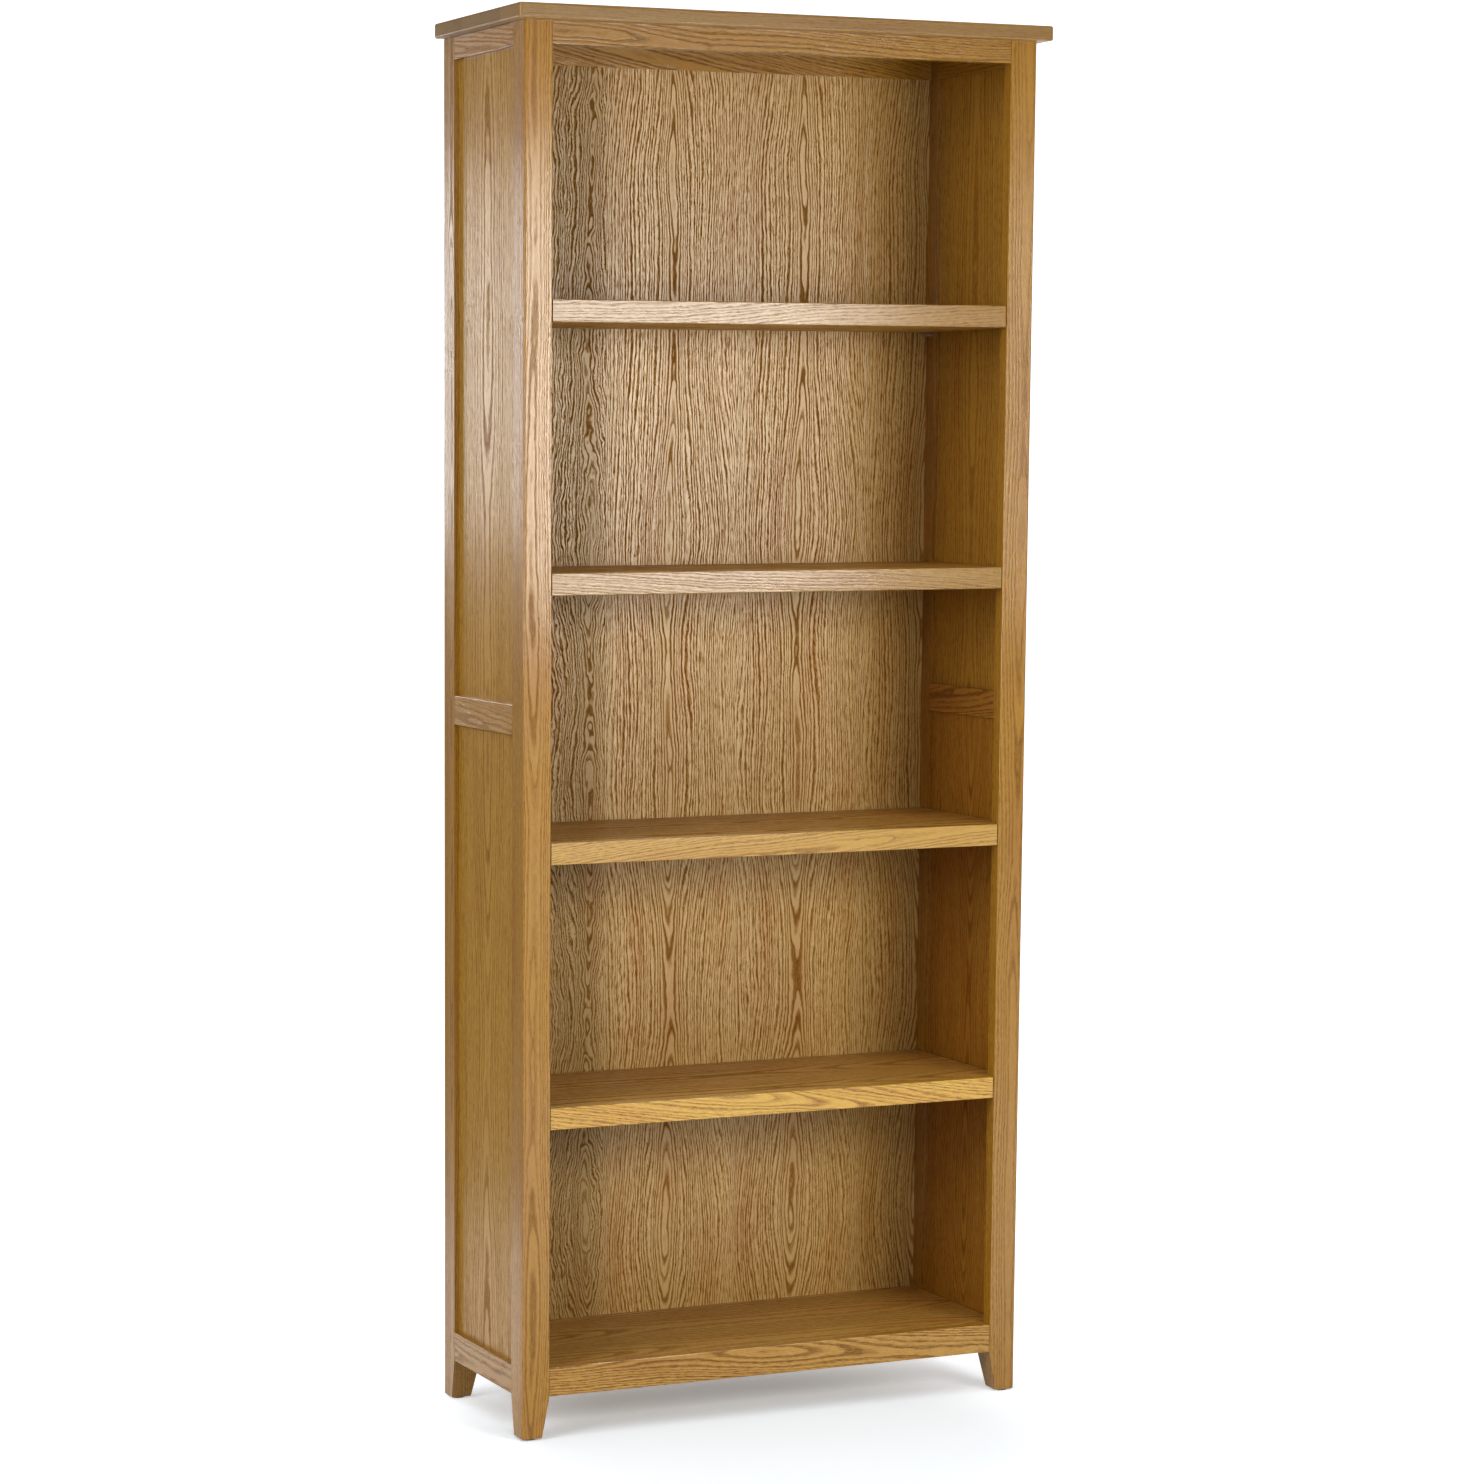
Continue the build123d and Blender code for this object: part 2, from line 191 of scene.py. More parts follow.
def makeGrainGroup():
    tree = bpy.data.node_groups.new("oakGrain", "ShaderNodeTree")
    for name, kind in grainInputs:
        tree.interface.new_socket(name, in_out="INPUT", socket_type=kind)
    tree.interface.new_socket("Color", in_out="OUTPUT", socket_type="NodeSocketColor")
    tree.interface.new_socket("Height", in_out="OUTPUT", socket_type="NodeSocketFloat")
    tree.interface.new_socket("Pore", in_out="OUTPUT", socket_type="NodeSocketFloat")
    given = addNode(tree, "NodeGroupInput").outputs
    across, depth, along = separate(tree, vectorMaths(
        tree, "MULTIPLY", given["Place"], [1.0 / millimetre] * 3))

    # leaves: each one takes the figure of the one before it, slipped by a random amount
    leafPlace = maths(
        tree, "DIVIDE", maths(tree, "SUBTRACT", across, given["LeafStart"]), given["LeafWidth"])
    leaf = maths(tree, "FLOOR", leafPlace)
    inLeaf = maths(tree, "SUBTRACT", maths(tree, "SUBTRACT", leafPlace, leaf), 0.5)
    acrossLeaf = maths(tree, "MULTIPLY", inLeaf, given["LeafWidth"])
    leafRandom = randomFor(tree, maths(tree, "ADD", leaf, leafDraw))
    slipAlong, slipDepth, leafShade = separate(
        tree, vectorMaths(tree, "SUBTRACT", leafRandom.outputs["Color"], halfWay))
    alongLeaf = maths(tree, "ADD", along, maths(tree, "MULTIPLY", slipAlong, given["LeafSlip"]))
    depthLeaf = maths(tree, "ADD", depth, maths(
        tree, "MULTIPLY", maths(tree, "MULTIPLY", slipDepth, given["LeafSlip"]), leafDepthSlip))
    seam = ease(tree, maths(tree, "ABSOLUTE", inLeaf),
                maths(tree, "SUBTRACT", 0.5, maths(tree, "DIVIDE", seamWidth, given["LeafWidth"])), 0.5)

    board = vectorMaths(tree, "ADD", combine(tree, acrossLeaf, depthLeaf, alongLeaf), given["Seed"])

    # the tree's own bends, from slow to quick
    slow = noise(tree, vectorMaths(tree, "MULTIPLY", board, bends["slow"]))
    quick = noise(tree, vectorMaths(tree, "MULTIPLY", board, bends["quick"]), detail=2.0)
    wild = addNode(tree, "ShaderNodeMath", operation="COMPARE")
    feed(tree, wild.inputs[0], leaf)
    feed(tree, wild.inputs[1], given["WildLeaf"])
    wild.inputs[2].default_value = sameLeaf
    isWild = wild.outputs[0]
    # its darker heartwood fades into the leaf beside it
    fromWild = maths(tree, "ABSOLUTE", maths(tree, "SUBTRACT", leafPlace, maths(
        tree, "ADD", given["WildLeaf"], 0.5)))
    darkWild = ease(tree, fromWild, *steps["wildFades"], 1.0, 0.0)
    curl = maths(tree, "MULTIPLY", given["Curl"], ease(tree, isWild, 0, 1, 1.0, wildLeaf["curl"]))
    figure = maths(tree, "MULTIPLY", given["Figure"], ease(tree, isWild, 0, 1, 1.0, wildLeaf["figure"]))
    pithShift = combine(tree, maths(tree, "MULTIPLY", isWild, wildLeaf["shift"]), 0.0, 0.0)
    slowShift = vectorMaths(tree, "SUBTRACT", slow.outputs["Color"], halfWay)
    quickShift = vectorMaths(tree, "SUBTRACT", quick.outputs["Color"], halfWay)
    bend = vectorMaths(
        tree, "ADD",
        vectorMaths(tree, "MULTIPLY", slowShift, combine(
            tree, given["Wander"], maths(tree, "MULTIPLY", given["Wander"], bends["wanderDepth"]), 0.0)),
        vectorMaths(tree, "MULTIPLY", quickShift, combine(tree, curl, curl, 0.0)))
    fromPith = vectorMaths(
        tree, "ADD",
        vectorMaths(tree, "ADD", combine(tree, acrossLeaf, depthLeaf, 0.0), given["Pith"]),
        vectorMaths(tree, "ADD", bend, pithShift))
    ringX, ringY, _ = separate(tree, fromPith)
    radius = vectorMaths(tree, "LENGTH", combine(tree, ringX, ringY, 0.0))
    turn = maths(tree, "ARCTAN2", ringY, ringX)
    taper = noise(tree, vectorMaths(tree, "MULTIPLY", board, bends["taper"]))
    # years of slow and of quick growth crowd the rings together or spread them
    years = noise(tree, combine(tree, maths(tree, "MULTIPLY", radius, bends["years"]), 0.0, 0.0))
    growth = maths(tree, "MULTIPLY", maths(tree, "SUBTRACT", years.outputs["Fac"], 0.5), maths(
        tree, "MULTIPLY", given["RingPitch"], bends["yearSpread"]))
    phase = maths(
        tree, "ADD", maths(tree, "DIVIDE", maths(tree, "ADD", radius, growth), given["RingPitch"]),
        maths(tree, "MULTIPLY", maths(tree, "SUBTRACT", taper.outputs["Fac"], 0.5), figure))

    # one ring: an abrupt dark row of pores that fades into pale late wood, stronger in some years
    ring = maths(tree, "FRACT", phase)
    ringRandom = randomFor(tree, maths(tree, "FLOOR", phase)).outputs["Value"]
    band = maths(tree, "MAXIMUM", ease(tree, ring, *steps["ringFades"], 1.0, 0.0),
                 ease(tree, ring, *steps["ringRises"]))
    band = maths(tree, "MULTIPLY", band, maths(
        tree, "ADD", maths(tree, "MULTIPLY", ringRandom, 1.0 - weakestRing), weakestRing))

    # pores run with the rings, so they are laid out on radius, turn and length
    inWood = vectorMaths(tree, "ADD", combine(
        tree, radius, maths(tree, "MULTIPLY", turn, pores["round"]),
        maths(tree, "MULTIPLY", alongLeaf, pores["along"])), given["Seed"])
    streaks = noise(
        tree, vectorMaths(tree, "MULTIPLY", inWood, pores["streaks"]), detail=3.0, roughness=0.65)
    vessels = noise(tree, vectorMaths(tree, "MULTIPLY", inWood, pores["vessels"]))
    fibres = noise(
        tree, vectorMaths(tree, "MULTIPLY", inWood, pores["fibres"]), detail=4.0, roughness=0.75)
    streak = ease(tree, streaks.outputs["Fac"], *steps["streak"])
    vessel = maths(tree, "MULTIPLY", ease(tree, vessels.outputs["Fac"], *steps["vessel"]), maths(
        tree, "ADD", maths(tree, "MULTIPLY", band, 1.0 - vesselsOutside), vesselsOutside))
    fibre = maths(tree, "SUBTRACT", fibres.outputs["Fac"], 0.5)

    # how dark the figure is here
    lines = maths(tree, "MULTIPLY", band, maths(
        tree, "ADD", maths(tree, "MULTIPLY", streak, darkens["streakInRing"]), darkens["ring"]))
    dark = maths(tree, "MULTIPLY", lines, given["Contrast"])
    dark = maths(tree, "ADD", dark, maths(tree, "MULTIPLY", maths(
        tree, "MULTIPLY", streak, darkens["streak"]), given["Contrast"]))
    dark = maths(tree, "ADD", dark, maths(tree, "MULTIPLY", maths(
        tree, "MULTIPLY", vessel, darkens["vessel"]), given["Pores"]))
    edge = ease(tree, maths(tree, "ABSOLUTE", inLeaf), *steps["leafEdge"])
    dark = maths(tree, "SUBTRACT", dark, maths(tree, "MULTIPLY", edge, given["EdgePale"]))
    dark = maths(tree, "ADD", dark, maths(tree, "MULTIPLY", fibre, given["Fibres"]), clamp=True)
    wood = mixColor(tree, dark, given["Pale"], given["Deep"])

    # tone of the heartwood, of the leaf and of end grain
    clouds = noise(tree, vectorMaths(tree, "MULTIPLY", board, bends["clouds"]), detail=2.0)
    warmth = maths(tree, "MULTIPLY", ease(tree, clouds.outputs["Fac"], *steps["clouds"]), given["Patches"])
    wood = mixColor(tree, warmth, wood, given["Warm"], blend="MULTIPLY")
    shade = maths(tree, "ADD", 1.0, maths(tree, "MULTIPLY", leafShade, given["LeafTone"]))
    shade = maths(tree, "SUBTRACT", shade, maths(tree, "MULTIPLY", darkWild, wildLeaf["darker"]))
    for place, amount in ((seam, darkens["seam"]), (given["End"], darkens["endGrain"])):
        shade = maths(tree, "MULTIPLY", shade, maths(
            tree, "SUBTRACT", 1.0, maths(tree, "MULTIPLY", place, amount)))
    shade = maths(tree, "MULTIPLY", shade, given["Tone"])
    wood = vectorMaths(tree, "MULTIPLY", wood, combine(tree, shade, shade, shade))

    height = maths(tree, "SUBTRACT", maths(tree, "MULTIPLY", fibre, relief["fibre"]), maths(
        tree, "ADD", maths(tree, "MULTIPLY", vessel, relief["vessel"]),
        maths(tree, "MULTIPLY", lines, relief["ring"])))
    height = maths(tree, "SUBTRACT", height, maths(tree, "MULTIPLY", seam, relief["seam"]))
    result = addNode(tree, "NodeGroupOutput")
    feed(tree, result.inputs["Color"], wood)
    feed(tree, result.inputs["Height"], height)
    feed(tree, result.inputs["Pore"], maths(
        tree, "ADD", ease(tree, dark, *steps["dullPores"]),
        maths(tree, "MULTIPLY", darkWild, wildLeaf["duller"]), clamp=True))
    return tree


grainGroup = makeGrainGroup()

# which of X, Y and Z lies across the board, through it and along its grain
runs = {
    "upright": (0, 1, 2),
    "sideUpright": (1, 0, 2),
    "cross": (2, 1, 0),
    "flat": (1, 2, 0),
    "sideways": (2, 0, 1),
}

# what each kind of timber and veneer looks like; what differs from board to board is further down
# a LeafWidth of 4000 makes one leaf of the whole board, and a WildLeaf of 99 none of them wild
looks = {
    "solid": {
        "RingPitch": 3.2, "Figure": 9.0, "Wander": 16.0, "Curl": 2.4, "LeafWidth": 4000.0,
        "LeafStart": -2000.0, "LeafSlip": 0.0, "LeafTone": 0.0, "WildLeaf": 99.0, "EdgePale": 0.0,
        "Contrast": 0.75, "Pores": 1.0, "Fibres": 2.0, "Patches": 0.6, "Pale": (0.395, 0.187, 0.012),
        "Deep": (0.16, 0.060, 0.004), "Warm": (0.85, 0.70, 0.50),
    },
    "lipping": {
        "RingPitch": 3.4, "Figure": 12.0, "Wander": 14.0, "Curl": 3.0, "LeafWidth": 4000.0,
        "LeafStart": -2000.0, "LeafSlip": 0.0, "LeafTone": 0.0, "WildLeaf": 99.0, "EdgePale": 0.0,
        "Contrast": 0.85, "Pores": 0.9, "Fibres": 1.6, "Patches": 0.6, "Pale": (0.43, 0.228, 0.036),
        "Deep": (0.18, 0.078, 0.010), "Warm": (0.85, 0.70, 0.50),
    },
    "backVeneer": {
        "RingPitch": 4.1, "Figure": 26.0, "Wander": 34.0, "Curl": 4.5, "LeafWidth": 203.0,
        "LeafStart": -143.0, "LeafSlip": 300.0, "LeafTone": 0.05, "WildLeaf": -1.0, "EdgePale": 0.1,
        "Contrast": 1.4, "Pores": 1.2, "Fibres": 1.0, "Patches": 0.7, "Pale": (0.635, 0.398, 0.114),
        "Deep": (0.21, 0.083, 0.013), "Warm": (0.88, 0.72, 0.50),
    },
    "sideVeneer": {
        "RingPitch": 3.8, "Figure": 12.0, "Wander": 16.0, "Curl": 2.4, "LeafWidth": 150.0,
        "LeafStart": -75.0, "LeafSlip": 30.0, "LeafTone": 0.08, "WildLeaf": 99.0, "EdgePale": 0.0,
        "Contrast": 1.1, "Pores": 0.9, "Fibres": 1.6, "Patches": 0.5, "Pale": (0.45, 0.240, 0.036),
        "Deep": (0.18, 0.075, 0.008), "Warm": (0.85, 0.68, 0.50),
    },
    "boardVeneer": {
        "RingPitch": 4.4, "Figure": 14.0, "Wander": 16.0, "Curl": 2.4, "LeafWidth": 120.0,
        "LeafStart": -40.0, "LeafSlip": 400.0, "LeafTone": 0.08, "WildLeaf": 99.0, "EdgePale": 0.0,
        "Contrast": 1.0, "Pores": 0.9, "Fibres": 1.3, "Patches": 0.6, "Pale": (0.54, 0.29, 0.060),
        "Deep": (0.24, 0.10, 0.010), "Warm": (0.85, 0.66, 0.48),
    },
    "staves": {
        "RingPitch": 2.6, "Figure": 12.0, "Wander": 14.0, "Curl": 2.0, "LeafWidth": 66.0,
        "LeafStart": -149.5, "LeafSlip": 3000.0, "LeafTone": 0.30, "WildLeaf": 99.0, "EdgePale": 0.0,
        "Contrast": 0.5, "Pores": 1.0, "Fibres": 1.5, "Patches": 0.6, "Pale": (0.46, 0.25, 0.058),
        "Deep": (0.24, 0.10, 0.012), "Warm": (0.85, 0.70, 0.52),
    },
}
# the satin lacquer over them: thicker on the solid timber than on the veneers
lacquers = {
    "solid": {"specular": 0.10, "roughness": 0.50, "coat": 1.0, "coatIor": 1.57, "coatRoughness": 0.15,
              "poreDullness": 0.6, "relief": 2.0},
    "lipping": {"specular": 0.15, "roughness": 0.45, "coat": 1.0, "coatIor": 1.52, "coatRoughness": 0.12,
                "poreDullness": 0.3, "relief": 1.0},
    "staves": {"specular": 0.20, "roughness": 0.48, "coat": 0.6, "coatIor": 1.5, "coatRoughness": 0.26,
               "poreDullness": 0.8, "relief": 1.0},
    "backVeneer": {"specular": 0.05, "roughness": 0.55, "coat": 1.0, "coatIor": 1.69, "coatRoughness": 0.3,
                   "poreDullness": 1.0, "relief": 1.5},
    "sideVeneer": {"specular": 0.05, "roughness": 0.50, "coat": 0.85, "coatIor": 1.5, "coatRoughness": 0.24,
                   "poreDullness": 0.8, "relief": 1.0},
    "boardVeneer": {"specular": 0.15, "roughness": 0.50, "coat": 0.3, "coatIor": 1.5, "coatRoughness": 0.28,
                    "poreDullness": 0.8, "relief": 1.0},
}
poreRoughness = 0.2  # how much rougher the pores are than the wood between them
seedStride = (317.0, 131.0, 733.0)  # takes each board's wood from another part of the log
endGrainStep = (0.6, 0.95)  # how squarely a face must lie across the grain to be end grain


def oakMaterial(name, run, look, pith, seed, tone, changes=None):
    settings = {**looks[look], **(changes or {})}
    lacquer = lacquers[look]
    material = bpy.data.materials.new(name)
    material.use_nodes = True
    tree = material.node_tree
    tree.nodes.clear()
    spot = addNode(tree, "ShaderNodeTexCoord")
    mapping = addNode(tree, "ShaderNodeMapping", vector_type="POINT")
    feed(tree, mapping.inputs["Vector"], spot.outputs["Object"])
    axes = separate(tree, mapping.outputs["Vector"])
    facing = separate(tree, spot.outputs["Normal"])
    order = runs[run]
    grain = addNode(tree, "ShaderNodeGroup", node_tree=grainGroup)
    feed(tree, grain.inputs["Place"], combine(tree, *[axes[i] for i in order]))
    feed(tree, grain.inputs["End"], ease(tree, maths(tree, "ABSOLUTE", facing[order[2]]), *endGrainStep))
    grain.inputs["Seed"].default_value = [seed * stride for stride in seedStride]
    grain.inputs["Pith"].default_value = (pith[0], pith[1], 0.0)
    grain.inputs["Tone"].default_value = tone
    for key, value in settings.items():
        grain.inputs[key].default_value = (*value, 1.0) if isinstance(value, tuple) else value
    bump = addNode(tree, "ShaderNodeBump")
    bump.inputs["Strength"].default_value = 1.0
    bump.inputs["Distance"].default_value = lacquer["relief"] * millimetre
    feed(tree, bump.inputs["Height"], grain.outputs["Height"])
    shader = addNode(tree, "ShaderNodeBsdfPrincipled")
    feed(tree, shader.inputs["Base Color"], grain.outputs["Color"])
    feed(tree, shader.inputs["Roughness"], maths(
        tree, "ADD", lacquer["roughness"],
        maths(tree, "MULTIPLY", grain.outputs["Pore"], poreRoughness)))
    shader.inputs["Specular IOR Level"].default_value = lacquer["specular"]
    # the lacquer sinks into the open pores and does not shine there
    sunk = maths(tree, "MULTIPLY", grain.outputs["Pore"], lacquer["poreDullness"])
    feed(tree, shader.inputs["Coat Weight"], maths(
        tree, "MULTIPLY", lacquer["coat"], maths(tree, "SUBTRACT", 1.0, sunk)))
    shader.inputs["Coat IOR"].default_value = lacquer["coatIor"]
    shader.inputs["Coat Roughness"].default_value = lacquer["coatRoughness"]
    feed(tree, shader.inputs["Normal"], bump.outputs["Normal"])
    feed(tree, shader.inputs["Coat Normal"], bump.outputs["Normal"])
    result = addNode(tree, "ShaderNodeOutputMaterial")
    feed(tree, result.inputs["Surface"], shader.outputs["BSDF"])
    return material, mapping


def dress(piece, material):
    piece.data.materials.clear()
    piece.data.materials.append(material)
    for face in piece.data.polygons:
        face.material_index = 0


# grain that runs out of line in its board, in degrees
slants = {
    "front_top_rail": -3.0, "back_top_rail": -12.0, "side_top_rail_left": -5.0, "side_mid_rail_left": -4.0,
    "shelf_lipping_1": -8.0, "shelf_lipping_2": 5.0, "shelf_lipping_3": -3.0, "shelf_lipping_4": 2.0,
    "side_mid_rail_right": 6.0, "front_bottom_rail": -5.0,
}
# boards that differ from the usual look of their kind; the right-hand rear post, mid rail and side panels
# are darker and redder, painted shade of the inside of the carcass
changesTo = {
    "back_top_rail": {"Contrast": 1.2, "RingPitch": 4.0, "Figure": 16.0},
    "front_top_rail": {"Contrast": 1.0},
    "shelf_lipping_1": {
        "Contrast": 0.95, "RingPitch": 4.2, "Figure": 24.0,
        "Pale": (0.52, 0.305, 0.044), "Deep": (0.18, 0.07, 0.007),
    },
    # this lipping's greener, bluer base than its kind is painted sheen
    "shelf_lipping_2": {"Pale": (0.45, 0.252, 0.044)},
    "front_bottom_rail": {"Contrast": 1.25, "Figure": 22.0, "Pale": (0.46, 0.24, 0.034)},
    # the right rear post: redder and darker, painted shade of the inside corner
    "rear_post_right": {"Pale": (0.39, 0.168, 0.012)},
    # the right mid rail: redder and darker, painted shade of the inside of the carcass
    "side_mid_rail_right": {
        "Contrast": 1.0, "RingPitch": 3.8, "Figure": 20.0,
        "Pale": (0.41, 0.165, 0.015), "Deep": (0.14, 0.046, 0.004),
    },
    # the right side panels: more saturated and darker than the left ones, painted shade of the inside of
    # the carcass
    "side_upper_panel_right": {"Pale": (0.43, 0.215, 0.022)},
    "side_lower_panel_right": {"Figure": 30.0, "Pale": (0.39, 0.168, 0.017), "Deep": (0.16, 0.056, 0.004)},
}
# grain direction, kind, where the pith lies from the middle of the board in millimetres, seed and tone; the
# lower tones of the right-hand posts, mid rail and side panels are painted shade
cutList = {
    "front_post_left": ("upright", "solid", (6, 30), 1.1, 1.0),
    # the right front post's lower tone is painted shade: it gets less light than the left one
    "front_post_right": ("upright", "solid", (-9, 34), 2.3, 0.92),
    "rear_post_left": ("upright", "solid", (30, 10), 3.2, 0.97),
    # the right rear post's low tone is painted shade
    "rear_post_right": ("upright", "solid", (24, -12), 4.7, 0.82),
    "side_top_rail_left": ("sideways", "solid", (10, 26), 5.1, 1.0),
    "side_top_rail_right": ("sideways", "solid", (-8, 26), 6.4, 0.97),
    "side_mid_rail_left": ("sideways", "solid", (14, 30), 7.7, 1.0),
    # the right mid rail's low tone is painted shade
    "side_mid_rail_right": ("sideways", "solid", (-12, 28), 8.2, 0.86),
    "side_bottom_rail_left": ("sideways", "solid", (6, 32), 9.6, 0.97),
    "side_bottom_rail_right": ("sideways", "solid", (-10, 28), 10.3, 0.95),
    "front_top_rail": ("cross", "solid", (16, 26), 11.4, 0.85),
    "front_bottom_rail": ("cross", "solid", (-12, 30), 12.9, 1.04),
    "back_top_rail": ("cross", "solid", (14, 24), 13.5, 1.05),
    "back_bottom_rail": ("cross", "solid", (8, 26), 14.8, 0.95),
    "shelf_lipping_1": ("cross", "lipping", (-6, 22), 15.2, 1.25),
    "shelf_lipping_2": ("cross", "lipping", (14, 22), 16.6, 1.14),
    "shelf_lipping_3": ("cross", "lipping", (50, 36), 17.1, 0.8),
    "shelf_lipping_4": ("cross", "lipping", (-45, 40), 18.4, 0.78),
    "side_upper_panel_left": ("sideUpright", "sideVeneer", (0, 40), 19.3, 1.0),
    # the right side panel's lower tone is painted shade of the inside
    "side_upper_panel_right": ("sideUpright", "sideVeneer", (0, 40), 20.8, 0.95),
    "side_lower_panel_left": ("sideUpright", "sideVeneer", (0, 36), 21.5, 0.98),
    # the right side panel's lower tone is painted shade of the inside
    "side_lower_panel_right": ("sideUpright", "sideVeneer", (12, 16), 22.2, 0.92),
    "back_panel": ("upright", "backVeneer", (0, 10), 23.7, 0.92),
    "bottom_board": ("flat", "boardVeneer", (0, 40), 24.4, 0.86),
    "shelf_board_1": ("flat", "boardVeneer", (0, 36), 25.9, 0.97),
    "shelf_board_2": ("flat", "boardVeneer", (0, 44), 26.1, 0.97),
    "shelf_board_3": ("flat", "boardVeneer", (0, 38), 27.6, 0.97),
    "shelf_board_4": ("flat", "boardVeneer", (0, 42), 28.3, 0.97),
    "top_board": ("flat", "staves", (0, 34), 29.9, 0.73),
    "bottom_batten_left": ("sideways", "solid", (10, 24), 30.2, 0.92),
    "bottom_batten_right": ("sideways", "solid", (10, 24), 31.6, 0.92),
}

# how wide the sandpaper has eased the arrises, in metres, by how a name starts; the rest stay sharp
easedEdges = {
    "front_": 0.0008, "rear_post": 0.0008, "side_top_rail": 0.0008, "side_mid_rail": 0.0008,
    "side_bottom_rail": 0.0008, "back_top_rail": 0.0005, "back_bottom_rail": 0.0005, "shelf_": 0.0004,
}
sharpAngle = math.radians(40.0)  # an edge that turns more than this is an arris
flatAngle = math.radians(1.0)
weldDistance = 0.00001


def easedWidth(name):
    return next((width for start, width in easedEdges.items() if name.startswith(start)), None)


def easedCopy(name, width):
    shape = bmesh.new()
    shape.from_mesh(nodes[name].data)
    bmesh.ops.remove_doubles(shape, verts=shape.verts, dist=weldDistance)
    bmesh.ops.dissolve_limit(shape, angle_limit=flatAngle, verts=shape.verts, edges=shape.edges)
    arrises = [edge for edge in shape.edges
               if edge.is_manifold and edge.calc_face_angle_signed() > sharpAngle]
    bmesh.ops.bevel(shape, geom=arrises, offset=width, offset_type="OFFSET", segments=2, profile=0.5,
                    affect="EDGES", clamp_overlap=True, material=-1)
    mesh = bpy.data.meshes.new(name + ".eased")
    shape.to_mesh(mesh)
    shape.free()
    piece = bpy.data.objects.new(name + ".eased", mesh)
    bpy.context.scene.collection.objects.link(piece)
    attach(piece, bodyOf[name])
    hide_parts(name)
    return piece


for name, (run, look, pith, seed, tone) in cutList.items():
    low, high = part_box(name)
    material, mapping = oakMaterial(name + "Oak", run, look, pith, seed, tone, changesTo.get(name))
    middle = (low + high) / 2
    turn = Euler()
    turn[runs[run][1]] = math.radians(slants.get(name, 0.0))
    # leaves and staves are set out from the middle of the carcass
    if look == "backVeneer":
        middle.x = 0.0
    if look == "staves":
        middle.y = 0.0
    mapping.inputs["Rotation"].default_value = turn
    mapping.inputs["Location"].default_value = -(turn.to_matrix() @ middle)
    width = easedWidth(name)
    dress(easedCopy(name, width) if width else nodes[name], material)
print("boards dressed:", len(cutList))


# fittings: grain is how fine the speckle is, per metre, and relief how rough it feels
fittings = {
    "nickel": {
        "color": (0.66, 0.63, 0.58), "metallic": 1.0, "roughness": 0.28, "grain": 900.0, "relief": 0.15,
    },
    "zinc": {
        "color": (0.40, 0.38, 0.34), "metallic": 1.0, "roughness": 0.45, "grain": 700.0, "relief": 0.25,
    },
    "glide": {
        "color": (0.045, 0.032, 0.024), "metallic": 0.0, "roughness": 0.55, "grain": 1600.0, "relief": 0.4,
    },
}
wear = {
    "patches": 90.0, "patchStep": (0.45, 0.75), "faded": 0.72,
    "speckleStep": (0.3, 0.7), "smoother": 0.08, "rougher": 0.12, "depth": 0.0002,
}


def fittingMaterial(name):
    settings = fittings[name]
    material = bpy.data.materials.new(name + "Finish")
    material.use_nodes = True
    tree = material.node_tree
    tree.nodes.clear()
    spot = addNode(tree, "ShaderNodeTexCoord").outputs["Object"]
    speckle = noise(tree, vectorMaths(tree, "MULTIPLY", spot, [settings["grain"]] * 3), detail=3.0)
    dull = noise(tree, vectorMaths(tree, "MULTIPLY", spot, [wear["patches"]] * 3), detail=2.0)
    shader = addNode(tree, "ShaderNodeBsdfPrincipled")
    color = (*settings["color"], 1.0)
    faded = (*[channel * wear["faded"] for channel in settings["color"]], 1.0)
    feed(tree, shader.inputs["Base Color"], mixColor(
        tree, ease(tree, dull.outputs["Fac"], *wear["patchStep"]), color, faded))
    shader.inputs["Metallic"].default_value = settings["metallic"]
    feed(tree, shader.inputs["Roughness"], ease(
        tree, speckle.outputs["Fac"], *wear["speckleStep"],
        settings["roughness"] - wear["smoother"], settings["roughness"] + wear["rougher"]))
    bump = addNode(tree, "ShaderNodeBump")
    bump.inputs["Strength"].default_value = settings["relief"]
    bump.inputs["Distance"].default_value = wear["depth"]
    feed(tree, bump.inputs["Height"], speckle.outputs["Fac"])
    feed(tree, shader.inputs["Normal"], bump.outputs["Normal"])
    result = addNode(tree, "ShaderNodeOutputMaterial")
    feed(tree, result.inputs["Surface"], shader.outputs["BSDF"])
    return material


finishOf = {"nickel_pin": fittingMaterial("nickel"), "zinc_steel": fittingMaterial("zinc"),
            "glide_plastic": fittingMaterial("glide")}
for name, node in nodes.items():
    if slotOf[name] in finishOf:
        dress(node, finishOf[slotOf[name]])
print("fittings dressed")


# studio: a grey room, a white paper floor and wall that keep the shadow, and soft lamps
studio = {
    "ambient": (0.96, 0.98, 1.0), "ambientStrength": 0.24,
    "floorSize": 24.0, "floorColor": 0.22, "floorDrop": 0.004,
    "paperColor": (0.81, 0.86, 0.905), "paperWidth": 9.0, "paperLength": 16.0,
    "paperPlace": (3.60, 0.85), "paperTurn": -15.0, "wallHeight": 5.0,
}
# the paper glows less near the legs, where the bookcase's shadow lies: a painted shadow round the feet,
# under which the lamps' own shadow also shows
paperGlow = {
    "paintedShadowGlow": 0.24, "away": 1.0, "centre": (-0.08, -0.25, 0.0), "near": 0.28, "far": 0.80,
    "mirroredFloor": 0.5, "mirroredWall": 1.0,
}
